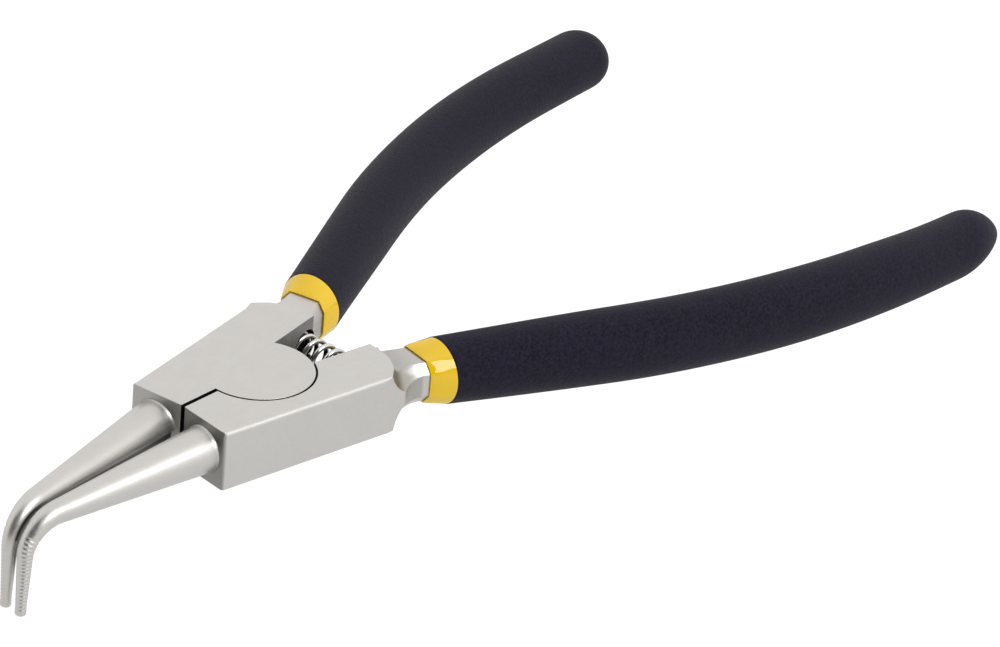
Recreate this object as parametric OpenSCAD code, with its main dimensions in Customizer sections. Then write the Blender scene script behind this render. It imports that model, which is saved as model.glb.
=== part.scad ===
// External circlip pliers with 90 degree bent tips.
// Squeezing the handles spreads the tips, and a spring behind the pivot closes them.
// All sizes are in millimetres. X runs to the handles, Y to the left lever and Z up along the pivot.
// The origin is on the pivot axis, level with the underside of the head.

/* [Head] */
// Thickness of both halves over the lap joint
head_thickness = 8.9; // [8.6:0.1:9.4]
// Radius of the round lap discs
lap_radius = 7.8; // [7.4:0.1:8.1]
// Width of the head across the front faces
front_width = 17.3; // [16.8:0.1:18.4]
// Width of the head across the rear outer corners
rear_width = 26.6; // [25.8:0.1:27.6]
// Distance from the pivot forward to the front faces, on the jaw axes
front_reach = 14.75; // [13.5:0.25:16]
// Distance from the pivot back to the rear shoulder, along the handle
shoulder_reach = 17.9; // [17.5:0.1:18.6]
// Bevel on the long outer edges
edge_bevel = 0.35; // [0.2:0.05:0.5]

/* [Jaws] */
// Distance of each jaw axis from the middle plane, at the front face
jaw_offset = 4.45; // [4.35:0.05:4.8]
// Angle by which each jaw leans in towards its tip
jaw_toe = 5.9; // [5.2:0.1:6.1]
// Angle by which each jaw dips below the head's middle plane
jaw_dip = 2; // [0:0.5:3]
// Diameter of the cone where it leaves the head
cone_base_d = 6.6; // [6.2:0.1:7.0]
// Length of the cone, front face to bend
cone_length = 24; // [21:0.5:25]
// Diameter at the start of the bend
bend_start_d = 3.2; // [2.8:0.1:3.4]
// Diameter at the end of the bend
bend_end_d = 2.1; // [1.8:0.1:2.4]
// Radius of the bend on its centre line
bend_radius = 5.4; // [4.6:0.2:6.4]
// Angle of the bend
bend_angle = 85; // [80:1:90]
// Length of the straight tip below the bend
tip_length = 8.4; // [7.6:0.2:9.2]
// Diameter of the plain pin at the tip's end
tip_pin_d = 1.5; // [1.3:0.05:1.7]
// Length of the plain pin
tip_pin_length = 1.2; // [1.0:0.1:1.6]
// Number of cross grooves on the outer side of each tip
groove_count = 9; // [6:1:11]
// Depth of a cross groove
groove_depth = 0.1; // [0.05:0.01:0.14]

/* [Handles] */
// Angle of each handle to the middle plane, where it leaves the head
handle_angle = 25.2; // [24.6:0.2:26.6]
// Distance from the pivot at which the handle's line passes it
handle_foot = 0.9; // [0.7:0.1:1.2]
// Length of the straight part of the handle, from its foot
handle_straight = 52.5; // [48:0.5:57]
// Radius by which the handle turns back towards the middle plane
handle_radius = 154; // [145:1:170]
// Angle through which the handle turns back
handle_turn = 21; // [19:0.5:22.5]
// Length of the straight tail to the end of the grip
handle_tail = 17.2; // [14:0.1:20]
// Height of the handles' centre line above the head's underside
handle_level = 5; // [4.8:0.05:5.2]
// Width of the eight-sided neck between head and collar
neck_width = 6.8; // [6.5:0.1:7.0]
// Height of the neck
neck_height = 6.2; // [6.0:0.1:6.4]
// Width of the flat tang inside the grip
tang_width = 4.4; // [3.8:0.1:4.8]
// Height of the flat tang inside the grip
tang_height = 5.6; // [5:0.1:6]

/* [Grips] */
// Distance from the foot to the front edge of the yellow collar
collar_start = 22.4; // [21.6:0.1:22.6]
// Length of the yellow collar that shows ahead of the grip
collar_length = 3.5; // [3:0.1:5]
// Angle by which the edges of both dips lean, further back on the outer side
dip_lean = 14; // [0:1:20]
// Diameter of the collar's front edge
collar_d = 8.6; // [8.2:0.1:8.7]
// Width of the grip at its front
grip_front_width = 9.2; // [9.1:0.1:10]
// Height of the grip at its front
grip_front_height = 9.6; // [9.1:0.1:10.2]
// Width of the grip in its middle
grip_middle_width = 9.8; // [9.2:0.1:10.4]
// Height of the grip in its middle, where it is tallest
grip_middle_height = 11.1; // [10.6:0.1:12]
// Width of the grip near its end
grip_end_width = 10.5; // [9.6:0.1:11.2]
// Height of the grip near its end
grip_end_height = 9.6; // [8.6:0.1:10]
// Length of the rounded end
grip_nose = 5; // [4:0.25:6]
// Thickness of the dark outer dip
grip_wall = 0.9; // [0.7:0.05:1.0]

/* [Pivot and spring] */
// Diameter of the rivet's shank
rivet_d = 5.2; // [4.6:0.1:5.8]
// Diameter of the rivet's flush ends
rivet_end_d = 6.6; // [6.2:0.1:7.2]
// Distance from the pivot back to the spring
spring_reach = 14.8; // [14.2:0.1:15.2]
// Mean diameter of the spring's coil
spring_d = 3.7; // [3.4:0.1:4.0]
// Diameter of the spring's wire
wire_d = 0.6; // [0.45:0.05:0.7]
// Angle at which the spring's wire starts
spring_start = 120; // [0:10:350]
// Number of turns of the spring
spring_turns = 8.5; // [7:0.5:9]
// Depth of the pockets that hold the spring's ends
pocket_depth = 2.2; // [1.6:0.1:2.6]

/* [Clearances] */
// Gap between the halves in front of the pivot
slot_gap = 0.66; // [0.5:0.02:0.9]
// Gap round each lap disc
lap_gap = 0.3; // [0.2:0.02:0.4]
// Gap between the two lap discs
face_gap = 0.08; // [0.04:0.01:0.14]
// Gap round the rivet in the right lever
rivet_gap = 0.05; // [0.03:0.01:0.08]
// Gap round the spring in its pockets
pocket_gap = 0.55; // [0.4:0.05:0.7]
// Gap at each end of the spring
spring_end_gap = 0.05; // [0.03:0.01:0.1]
// Gap between the layers of a handle
layer_gap = 0.03; // [0.02:0.01:0.05]

/* [Show] */
// Sub-part to draw

/* [Hidden] */
$fn = 96;
mid = head_thickness / 2;
rivet_r = rivet_d / 2;
rivet_end_r = rivet_end_d / 2;
rivet_end_h = 0.8;

// The handle's line: straight, then an arc, then straight again.
foot = [0, handle_foot];
turn_length = handle_radius * handle_turn * PI / 180;
handle_end = handle_straight + turn_length + handle_tail;
function direction(a) = [cos(a), sin(a)];
function leftward(a) = [-sin(a), cos(a)];
function heading(s) =
    handle_angle - min(max(s - handle_straight, 0), turn_length) / turn_length * handle_turn;
turn_start = foot + handle_straight * direction(handle_angle);
turn_centre = turn_start - handle_radius * leftward(handle_angle);
turn_end = turn_centre + handle_radius * leftward(handle_angle - handle_turn);
function on_handle(s) =
    s <= handle_straight ? foot + s * direction(handle_angle)
    : s <= handle_straight + turn_length ? turn_centre + handle_radius * leftward(heading(s))
    : turn_end + (s - handle_straight - turn_length) * direction(handle_angle - handle_turn);
// A point beside the handle's first straight part: distance along it and to its left.
function beside(along, left) =
    foot + along * direction(handle_angle) + left * leftward(handle_angle);

// Plan of the head's left half, seen from above.
neck_inner = neck_width / 2 - 0.3;
inner_left = -neck_inner - 0.08;
shoulder_inner = beside(shoulder_reach - 1, inner_left);
pocket_face_slope = 0.17;
pocket_face_start = [7, shoulder_inner[1] - pocket_face_slope * (shoulder_inner[0] - 7)];
spring_face_y = shoulder_inner[1] - pocket_face_slope * (shoulder_inner[0] - spring_reach);
pocket_floor_y = spring_face_y + pocket_depth;
function front_x(y) = -front_reach - (y - jaw_offset) * tan(jaw_toe);
front_inner = [front_x(slot_gap / 2), slot_gap / 2];
front_outer = [front_x(front_width / 2), front_width / 2];
rear_outer = [beside(shoulder_reach - 1.3, 0)[0] - 2.6, rear_width / 2];
edge_run = rear_outer - front_outer;

// Sections of the grip. The position p runs from 0 at the collar to 1 at the end.
grip_start = collar_start + collar_length;
function smooth(t) = let (c = min(max(t, 0), 1)) c * c * (3 - 2 * c);
function along_grip(s) = (s - grip_start) / (handle_end - grip_start);
function mix(a, b, t) = a + (b - a) * t;
function grip_width(p) =
    p < 0.42 ? mix(grip_front_width, grip_middle_width, smooth(p / 0.36))
    : mix(grip_middle_width, grip_end_width, smooth((p - 0.42) / 0.53));
function grip_height(p) =
    p < 0.5 ? mix(grip_front_height, grip_middle_height, sin(90 * min(max(p / 0.33, 0), 1)))
    : mix(grip_middle_height, grip_end_height, smooth((p - 0.5) / 0.45));

// Rings of points across the handle. Each ring starts at a corner, so round and square rings match.
ring_n = 24;
function place(s, left, up) =
    let (c = on_handle(s), n = leftward(heading(s)))
    [c[0] + left * n[0], c[1] + left * n[1], handle_level + up];
function round_ring(s, w, h) =
    [for (i = [0 : ring_n - 1]) let (a = 45 + i * 360 / ring_n) place(s, w / 2 * cos(a), h / 2 * sin(a))];
function leaning_ring(s, w, h) =
    [for (i = [0 : ring_n - 1]) let (a = 45 + i * 360 / ring_n, left = w / 2 * cos(a))
        place(s + left * tan(dip_lean), left, h / 2 * sin(a))];
corners = [[1, 1], [-1, 1], [-1, -1], [1, -1], [1, 1]];
function square_ring(s, w, h) =
    [for (i = [0 : ring_n - 1])
        let (k = floor(i * 4 / ring_n), t = i * 4 / ring_n - k, c = mix(corners[k], corners[k + 1], t))
        place(s, w / 2 * c[0], h / 2 * c[1])];

// Stations along the handle, shared by the tang and both layers, so that their facets stay parallel.
station_n = 18;
tang_start = grip_start - 0.4;
tang_end = handle_end - grip_nose - 1;
function station(i) = mix(tang_start, tang_end, i / station_n);
nose_n = 6;

// Skin over a row of rings, closed at both ends.
module loft(rings) {
    n = len(rings[0]);
    m = len(rings);
    points = [for (r = rings) for (p = r) p];
    sides = [for (k = [0 : m - 2]) for (i = [0 : n - 1])
        let (j = (i + 1) % n, a = k * n + i, b = k * n + j, c = a + n, d = b + n)
        each [[a, c, d], [a, d, b]]];
    first = [for (i = [0 : n - 1]) i];
    last = [for (i = [n - 1 : -1 : 0]) (m - 1) * n + i];
    polyhedron(points, concat([first], sides, [last]), convexity = 6);
}

module half_plan() {
    polygon([front_inner, front_outer, rear_outer, beside(shoulder_reach - 0.2, 3.2),
             beside(shoulder_reach - 0.2, -1.2), shoulder_inner, pocket_face_start,
             [0, pocket_face_start[1] / 2], [0, slot_gap / 2]]);
}

// One half of the head, with its disc in the upper layer.
module lap_half() {
    difference() {
        union() {
            translate([0, 0, mid + face_gap / 2])
                linear_extrude(mid - face_gap / 2)
                    union() {
                        half_plan();
                        circle(lap_radius);
                    }
            linear_extrude(mid + face_gap / 2)
                difference() {
                    half_plan();
                    circle(lap_radius + lap_gap);
                }
        }
        for (z = [0, head_thickness])
            translate([front_outer[0], front_outer[1], z])
                rotate([0, 0, atan2(edge_run[1], edge_run[0])])
                    rotate([45, 0, 0])
                        translate([-3, -edge_bevel * sqrt(0.5), -edge_bevel * sqrt(0.5)])
                            cube([norm(edge_run) + 6, edge_bevel * sqrt(2), edge_bevel * sqrt(2)]);
    }
}

// Neck: an eight-sided bar whose ground flats run out into the head, and the flat tang behind it.
// A run-out is an arc of radius r that leaves its flat at s0 and rises towards the head.
function run_out(s, s0, r) = let (d = min(max(s0 - s, 0), r)) r - sqrt(r * r - d * d);
flare_start = shoulder_reach - 1.3;
flare_length = 5.4;
flare_end = flare_start + flare_length;
neck_w = neck_width / 2;
neck_h = neck_height / 2;
// Corner flats of the bar: the direction square to them, as left and up, and their distance from the middle.
flat_run = [0.48 * neck_h, 0.35 * neck_w];
flat_normal = flat_run / norm(flat_run);
flat_reach = flat_normal[0] * neck_w + flat_normal[1] * 0.52 * neck_h;
// Place of the head's outer side, measured to the left of the handle's line.
side_from = rear_outer - foot;
side_slant = (edge_run * leftward(handle_angle)) / (edge_run * direction(handle_angle));
function side_left(s) =
    side_from * leftward(handle_angle) + side_slant * (s - side_from * direction(handle_angle));
function neck_ring(s) =
    let (out = min(neck_w + run_out(s, flare_end, 4.3), side_left(s) - 0.12),
         top = neck_h + min(run_out(s, shoulder_reach + 0.6, 0.9), head_thickness - handle_level - neck_h - 0.12),
         low = neck_h + min(run_out(s, flare_end - 0.4, 5), handle_level - neck_h - 0.12),
         side_reach = flat_reach + run_out(s, shoulder_reach + 2.5, 2.9),
         top_reach = flat_reach + run_out(s, shoulder_reach + 1.25, 2.9),
         low_reach = flat_reach + run_out(s, flare_end - 0.2, 5.2),
         top_side = min((side_reach - flat_normal[0] * out) / flat_normal[1], top - 0.25),
         top_out = min((top_reach - flat_normal[1] * top) / flat_normal[0], out - 0.25),
         low_side = min((low_reach - flat_normal[0] * out) / flat_normal[1], low - 0.25),
         low_out = min((low_reach - flat_normal[1] * low) / flat_normal[0], out - 0.25),
         inner = s > flare_start + 0.5 ? neck_inner : neck_inner - 0.5)
    [place(s, out, top_side), place(s, top_out, top), place(s, -0.65 * neck_w, top), place(s, -inner, 0.52 * neck_h),
     place(s, -inner, -0.52 * neck_h), place(s, -0.65 * neck_w, -low), place(s, low_out, -low), place(s, out, -low_side)];
function neck_end_ring(s, q) =
    let (w = q * neck_w, i = q * neck_inner, h = q * neck_h)
    [place(s, w, 0.52 * h), place(s, 0.65 * w, h), place(s, -0.65 * w, h), place(s, -i, 0.52 * h),
     place(s, -i, -0.52 * h), place(s, -0.65 * w, -h), place(s, 0.65 * w, -h), place(s, w, -0.52 * h)];
function tang_side(s, side) = on_handle(s) + side * tang_width / 2 * leftward(heading(s));
module neck_and_tang() {
    loft(concat(
        [neck_end_ring(flare_start - 1.6, 0.7)],
        [for (t = [0, 0.1, 0.18, 0.26, 0.35, 0.46, 0.6, 0.78, 1]) neck_ring(mix(flare_start, flare_end, t))],
        [neck_end_ring(tang_start - layer_gap, 1)]));
    translate([0, 0, handle_level - tang_height / 2])
        linear_extrude(tang_height)
            polygon(concat(
                [beside(tang_start - 2, tang_width / 2)],
                [for (i = [0 : station_n]) tang_side(station(i), 1)],
                [for (i = [station_n : -1 : 0]) tang_side(station(i), -1)],
                [beside(tang_start - 2, -tang_width / 2)]));
}

// Bent tip, in its own frame: X along the cone, Z up, grooves on the -Y side.
tip_ring_n = 24;
groove_pitch = (tip_length - tip_pin_length - 0.8) / groove_count;
function tip_d(t) = mix(bend_end_d, tip_pin_d, t / (tip_length - tip_pin_length));
function tip_ring(x, z, pitch, r, cut) =
    [for (i = [0 : tip_ring_n - 1])
        let (a = i * 360 / tip_ring_n,
             c = max(0, min(1, (-cos(a) - 0.3) * 3)),
             q = r - cut * c)
        [x + q * sin(a) * sin(pitch), q * cos(a), z + q * sin(a) * cos(pitch)]];
function bend_ring(a) =
    tip_ring(cone_length + bend_radius * sin(a), -bend_radius * (1 - cos(a)), a,
             mix(bend_start_d * 0.985, bend_end_d, a / bend_angle) / 2, 0);
function straight_ring(t, cut) =
    tip_ring(cone_length + bend_radius * sin(bend_angle) + t * cos(bend_angle),
             -bend_radius * (1 - cos(bend_angle)) - t * sin(bend_angle), bend_angle,
             tip_d(t) / 2, cut);
bend_n = 14;
module bent_tip() {
    loft(concat(
        [tip_ring(cone_length - 0.4, 0, 0, bend_start_d * 0.47, 0)],
        [for (i = [0 : bend_n]) bend_ring(bend_angle * i / bend_n)],
        [for (k = [0 : groove_count - 1]) let (t = 0.4 + k * groove_pitch)
            each [straight_ring(t, 0),
                  straight_ring(t + groove_pitch * 0.3, groove_depth),
                  straight_ring(t + groove_pitch * 0.6, 0)]],
        [tip_ring(cone_length + bend_radius * sin(bend_angle) + (tip_length - tip_pin_length + 0.2) * cos(bend_angle),
                  -bend_radius * (1 - cos(bend_angle)) - (tip_length - tip_pin_length + 0.2) * sin(bend_angle),
                  bend_angle, tip_pin_d * 0.47, 0)]));
    translate([cone_length + bend_radius * sin(bend_angle), 0, -bend_radius * (1 - cos(bend_angle))])
        rotate([0, 90 + bend_angle, 0]) {
            translate([0, 0, tip_length - tip_pin_length])
                cylinder(h = tip_pin_length, d = tip_pin_d);
            translate([0, 0, tip_length])
                cylinder(h = 0.25, d1 = tip_pin_d, d2 = tip_pin_d * 0.62);
        }
}

// Cone and bent tip of the left jaw.
module jaw() {
    translate([-front_reach, jaw_offset, mid])
        rotate([0, 0, 180 + jaw_toe])
            rotate([0, jaw_dip, 0]) {
                translate([-1.5, 0, 0])
                    rotate([0, 90, 0])
                        cylinder(h = cone_length + 1.5,
                                 d1 = cone_base_d + 1.5 * (cone_base_d - bend_start_d) / cone_length,
                                 d2 = bend_start_d);
                bent_tip();
            }
}

module spring_pocket() {
    translate([spring_reach, 0, mid])
        rotate([-90, 0, 0])
            cylinder(h = pocket_floor_y, d = spring_d + wire_d + 2 * pocket_gap);
}

module rivet_shape(gap) {
    translate([0, 0, -1])
        cylinder(h = head_thickness + 2, r = rivet_r + gap);
    cylinder(h = rivet_end_h, r1 = rivet_end_r + gap, r2 = rivet_r + gap);
    translate([0, 0, head_thickness - rivet_end_h])
        cylinder(h = rivet_end_h, r1 = rivet_r + gap, r2 = rivet_end_r + gap);
}

module left_lever() {
    color([0.78, 0.77, 0.74])
        difference() {
            union() {
                lap_half();
                jaw();
                neck_and_tang();
            }
            spring_pocket();
            rivet_shape(0);
        }
}

module right_lever() {
    color([0.78, 0.77, 0.74])
        difference() {
            union() {
                translate([0, 0, head_thickness])
                    rotate([180, 0, 0])
                        lap_half();
                mirror([0, 1, 0])
                    jaw();
                mirror([0, 1, 0])
                    neck_and_tang();
            }
            mirror([0, 1, 0])
                spring_pocket();
            rivet_shape(rivet_gap);
        }
}

module pivot_rivet() {
    color([0.72, 0.72, 0.7])
        intersection() {
            rivet_shape(0);
            cylinder(h = head_thickness, r = rivet_end_r + 1);
        }
}

// Coil along Y with closed end turns.
spring_half = pocket_floor_y - spring_end_gap - wire_d / 2;
dead_turns = 0.9;
dead_pitch = wire_d * 1.1;
live_pitch = (2 * spring_half - 2 * dead_turns * dead_pitch) / (spring_turns - 2 * dead_turns);
function spring_y(t) =
    t < dead_turns ? -spring_half + t * dead_pitch
    : t > spring_turns - dead_turns ? spring_half - (spring_turns - t) * dead_pitch
    : -spring_half + dead_turns * dead_pitch + (t - dead_turns) * live_pitch;
turn_n = 14;
function coil_ring(t) =
    let (a = t * 360 + spring_start,
         radial = [cos(a), 0, sin(a)],
         run = [-sin(a) * PI * spring_d, (spring_y(t + 0.01) - spring_y(t - 0.01)) / 0.02, cos(a) * PI * spring_d],
         along = run / norm(run),
         side = cross(along, radial),
         c = [spring_reach + spring_d / 2 * cos(a), spring_y(t), mid + spring_d / 2 * sin(a)])
    [for (i = [0 : 7]) c + wire_d / 2 * (cos(i * 45) * radial + sin(i * 45) * side)];

module return_spring() {
    color([0.8, 0.8, 0.8])
        loft([for (i = [0 : turn_n * spring_turns]) coil_ring(i / turn_n)]);
}

// Yellow layer: collar in front, thin sock under the grip behind it.
neck_hole = norm([0.65 * neck_width, neck_height]) + 2 * layer_gap + 0.1;
sleeve_end = handle_end - grip_nose * 0.6;
module sleeve() {
    under = grip_wall + layer_gap;
    rings = concat(
        [round_ring(tang_end + layer_gap, tang_width / 2, tang_height / 2),
         square_ring(tang_end + layer_gap, tang_width + 2 * layer_gap, tang_height + 2 * layer_gap)],
        [for (i = [station_n - 1 : -1 : 0])
            square_ring(station(i), tang_width + 2 * layer_gap, tang_height + 2 * layer_gap)],
        [round_ring(tang_start, neck_hole, neck_hole),
         leaning_ring(collar_start, neck_hole, neck_hole),
         leaning_ring(collar_start, collar_d - 0.3, collar_d - 0.3),
         leaning_ring(collar_start + 0.25, collar_d, collar_d),
         leaning_ring(grip_start, grip_front_width, grip_front_height),
         leaning_ring(grip_start, grip_front_width - 2 * under, grip_front_height - 2 * under)],
        [for (i = [1 : station_n]) let (p = along_grip(station(i)))
            round_ring(station(i), grip_width(p) - 2 * under, grip_height(p) - 2 * under)],
        [round_ring(sleeve_end - 0.6, grip_end_width - 2 * under - 1.6, grip_end_height - 2 * under - 1.6)]);
    loft(rings);
}

// Dark layer over the sock, with a rounded blind end.
module grip() {
    function inner(i) =
        let (p = along_grip(station(i)))
        round_ring(station(i), grip_width(p) - 2 * grip_wall, grip_height(p) - 2 * grip_wall);
    rings = concat(
        [round_ring(sleeve_end - 0.6 + layer_gap, grip_end_width - 2 * grip_wall - 1.6, grip_end_height - 2 * grip_wall - 1.6)],
        [for (i = [station_n : -1 : 1]) inner(i)],
        [leaning_ring(grip_start + layer_gap, grip_front_width - 2 * grip_wall, grip_front_height - 2 * grip_wall),
         leaning_ring(grip_start + layer_gap, grip_front_width, grip_front_height)],
        [for (i = [1 : station_n]) let (p = along_grip(station(i)))
            round_ring(station(i), grip_width(p), grip_height(p))],
        [for (k = [1 : nose_n]) let (a = 84 * k / nose_n, s = handle_end - grip_nose * (1 - sin(a)))
            round_ring(s, grip_end_width * pow(cos(a), 0.8), grip_end_height * pow(cos(a), 0.8))]);
    loft(rings);
}

module left_sleeve() {
    color([0.95, 0.78, 0.16])
        sleeve();
}

module right_sleeve() {
    color([0.95, 0.78, 0.16])
        mirror([0, 1, 0])
            sleeve();
}

module left_grip() {
    color([0.13, 0.13, 0.17])
        grip();
}

module right_grip() {
    color([0.13, 0.13, 0.17])
        mirror([0, 1, 0])
            grip();
}

left_lever();
right_lever();
pivot_rivet();
return_spring();
left_sleeve();
right_sleeve();
left_grip();
right_grip();
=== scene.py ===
import bpy
import bmesh
import numpy as np
from mathutils import Matrix, Vector
from mathutils.geometry import tessellate_polygon


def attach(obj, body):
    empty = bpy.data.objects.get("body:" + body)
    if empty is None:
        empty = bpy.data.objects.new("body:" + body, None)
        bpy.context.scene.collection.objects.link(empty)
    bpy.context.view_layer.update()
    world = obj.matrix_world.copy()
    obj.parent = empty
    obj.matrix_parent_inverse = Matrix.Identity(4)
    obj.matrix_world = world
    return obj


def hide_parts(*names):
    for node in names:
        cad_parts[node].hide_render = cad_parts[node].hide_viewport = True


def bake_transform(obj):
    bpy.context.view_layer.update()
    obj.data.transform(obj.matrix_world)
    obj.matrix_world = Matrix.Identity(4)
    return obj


# Circlip pliers with bent tips. Lengths in the dictionaries are millimetres, angles are degrees.
# X runs to the handles, Y to the left lever, Z up along the pivot.
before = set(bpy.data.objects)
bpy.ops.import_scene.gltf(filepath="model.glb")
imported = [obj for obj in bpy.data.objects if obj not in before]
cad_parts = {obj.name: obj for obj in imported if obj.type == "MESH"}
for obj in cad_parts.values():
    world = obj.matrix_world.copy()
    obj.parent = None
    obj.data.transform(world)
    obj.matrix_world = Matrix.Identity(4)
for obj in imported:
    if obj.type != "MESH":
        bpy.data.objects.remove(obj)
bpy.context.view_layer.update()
scene = bpy.context.scene
mergeDistance = 2e-7        # metres, points closer than this are one
levelCosine = 0.99999       # a face is level when its normal stands this close to Z
print("frame loaded:", ", ".join(sorted(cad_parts)))


def smoothStep(t):
    # cubic ease from 0 to 1, flat at both ends
    c = np.clip(t, 0.0, 1.0)
    return c * c * (3.0 - 2.0 * c)


def mix(a, b, t):
    # straight from a to b
    return a + (b - a) * t


def circle(n):
    # n equal angles round a full turn
    return np.arange(n) * 2.0 * np.pi / n


def newObject(name, points, faces, smoothAngle=None):
    # points in mm go into a mesh in metres, doubles are merged and faces turned outwards
    mesh = bpy.data.meshes.new(name)
    mesh.from_pydata((np.asarray(points, float) * 0.001).tolist(), [], faces)
    bm = bmesh.new()
    bm.from_mesh(mesh)
    bmesh.ops.remove_doubles(bm, verts=bm.verts, dist=mergeDistance)
    bmesh.ops.recalc_face_normals(bm, faces=bm.faces)
    if all(e.is_manifold for e in bm.edges) and bm.calc_volume(signed=True) < 0.0:
        bmesh.ops.reverse_faces(bm, faces=bm.faces)
    bm.to_mesh(mesh)
    bm.free()
    obj = bpy.data.objects.new(name, mesh)
    scene.collection.objects.link(obj)
    if smoothAngle:
        softenEdges(obj, smoothAngle)
    return obj


def softenEdges(obj, angle):
    # smooth shading, but edges that fold by more than the angle stay sharp
    obj.data.shade_smooth()
    obj.data.set_sharp_from_angle(angle=np.radians(angle))


def keepFlat(mesh):
    # an edge with a level face on one side only stays sharp, so that the long flats of the head shade flat
    normal = np.empty((len(mesh.polygons), 3))
    mesh.polygons.foreach_get("normal", normal.ravel())
    loopCount = np.empty(len(mesh.polygons), int)
    mesh.polygons.foreach_get("loop_total", loopCount)
    edgeOfLoop = np.empty(len(mesh.loops), int)
    mesh.loops.foreach_get("edge_index", edgeOfLoop)
    level = np.repeat(np.abs(normal[:, 2]) > levelCosine, loopCount)
    levelFaces = np.bincount(edgeOfLoop, weights=level, minlength=len(mesh.edges))
    sharp = np.empty(len(mesh.edges), bool)
    mesh.attributes["sharp_edge"].data.foreach_get("value", sharp)
    mesh.attributes["sharp_edge"].data.foreach_set("value", sharp | (levelFaces == 1))


def ringFaces(m, n):
    # quads between m rings of n points each, and a cap on the first and the last
    index = np.arange(m * n).reshape(m, n)
    ring, nextRing = index[:-1], index[1:]
    quads = np.stack([ring, np.roll(ring, -1, axis=1), np.roll(nextRing, -1, axis=1), nextRing], axis=-1)
    return quads.reshape(-1, 4).tolist() + [index[0].tolist(), index[-1].tolist()]


def tube(name, rings, smoothAngle=40):
    # skin over rings (m, n, 3), both ends capped
    m, n = rings.shape[:2]
    return newObject(name, rings.reshape(-1, 3), ringFaces(m, n), smoothAngle)


def mirrorY(points):
    # the same points across the middle plane, y turned to -y
    return points * np.array([1.0, -1.0, 1.0])


# camera, placed where the photograph was taken from
view = {"place": (-347.599, -312.174, 283.391), "lens": 144.79, "sensor": 36.0, "nearest": 10.0,
        "right": (0.65126, -0.754, 0.08576), "up": (0.32531, 0.3795, 0.86612)}
cameraData = bpy.data.cameras.new("camera")
camera = bpy.data.objects.new("camera", cameraData)
scene.collection.objects.link(camera)
across = Vector(view["right"]).normalized()
upward = (Vector(view["up"]) - across * across.dot(Vector(view["up"]))).normalized()
toward = across.cross(upward)
camera.matrix_world = Matrix.Translation(Vector(view["place"]) * 0.001) @ Matrix(
    (across, upward, toward)).transposed().to_4x4()
cameraData.lens = view["lens"]
cameraData.sensor_width = view["sensor"]
cameraData.clip_start = view["nearest"] * 0.001
scene.camera = camera
scene.view_settings.view_transform = "Standard"
print("camera set")


# materials
def newMaterial(name):
    # new material, its node tree, its shader's inputs, and the place on the part that its textures read
    material = bpy.data.materials.new(name)
    material.use_nodes = True
    tree = material.node_tree
    where = tree.nodes.new("ShaderNodeTexCoord").outputs["Object"]
    return material, tree, tree.nodes["Principled BSDF"].inputs, where


def newGroup(name, inputs, outputs):
    # node group with named inputs and outputs
    group = bpy.data.node_groups.new(name, "ShaderNodeTree")
    for label, kind, value in inputs:
        socket = group.interface.new_socket(label, in_out="INPUT", socket_type=kind)
        if value is not None:
            socket.default_value = value
    for label, kind in outputs:
        group.interface.new_socket(label, in_out="OUTPUT", socket_type=kind)
    return group, group.nodes.new("NodeGroupInput").outputs, group.nodes.new("NodeGroupOutput").inputs


def feed(tree, socket, value):
    # a number is set and a socket is linked
    if isinstance(value, (int, float)):
        socket.default_value = value
    elif value is not None:
        tree.links.new(value, socket)


def addMath(tree, kind, a, b=None):
    # one sum of a and b, each a number or a socket
    node = tree.nodes.new("ShaderNodeMath")
    node.operation = kind
    for socket, value in zip(node.inputs, (a, b)):
        feed(tree, socket, value)
    return node.outputs[0]


def addRange(tree, value, low, high, toLow, toHigh):
    # low to high becomes toLow to toHigh in a straight line, held beyond both ends
    node = tree.nodes.new("ShaderNodeMapRange")
    tree.links.new(value, node.inputs["Value"])
    for label, number in (("From Min", low), ("From Max", high), ("To Min", toLow), ("To Max", toHigh)):
        feed(tree, node.inputs[label], number)
    return node.outputs["Result"]


def addNoise(tree, vector, scale, detail=2.0, rough=0.5):
    # cloudy noise round 0.5; scale is a number or a socket
    node = tree.nodes.new("ShaderNodeTexNoise")
    tree.links.new(vector, node.inputs["Vector"])
    feed(tree, node.inputs["Scale"], scale)
    node.inputs["Detail"].default_value = detail
    node.inputs["Roughness"].default_value = rough
    return node.outputs["Fac"]


# mottle: two sizes of noise, 4.3 to 1, blended 0.6 to 0.4 and spread round 0.5 by Contrast
mottle, given, made = newGroup(
    "mottle", [("Vector", "NodeSocketVector", None), ("Scale", "NodeSocketFloat", 300.0),
               ("Contrast", "NodeSocketFloat", 1.0)], [("Value", "NodeSocketFloat")])
coarse = addNoise(mottle, given["Vector"], given["Scale"], 3.0, 0.55)
fine = addNoise(mottle, given["Vector"], addMath(mottle, "MULTIPLY", given["Scale"], 4.3), 2.0, 0.5)
blend = addMath(mottle, "ADD", addMath(mottle, "MULTIPLY", coarse, 0.6), addMath(mottle, "MULTIPLY", fine, 0.4))
spread = addMath(mottle, "MULTIPLY", addMath(mottle, "SUBTRACT", blend, 0.5), given["Contrast"])
mottle.links.new(addMath(mottle, "ADD", spread, 0.5), made["Value"])

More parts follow.
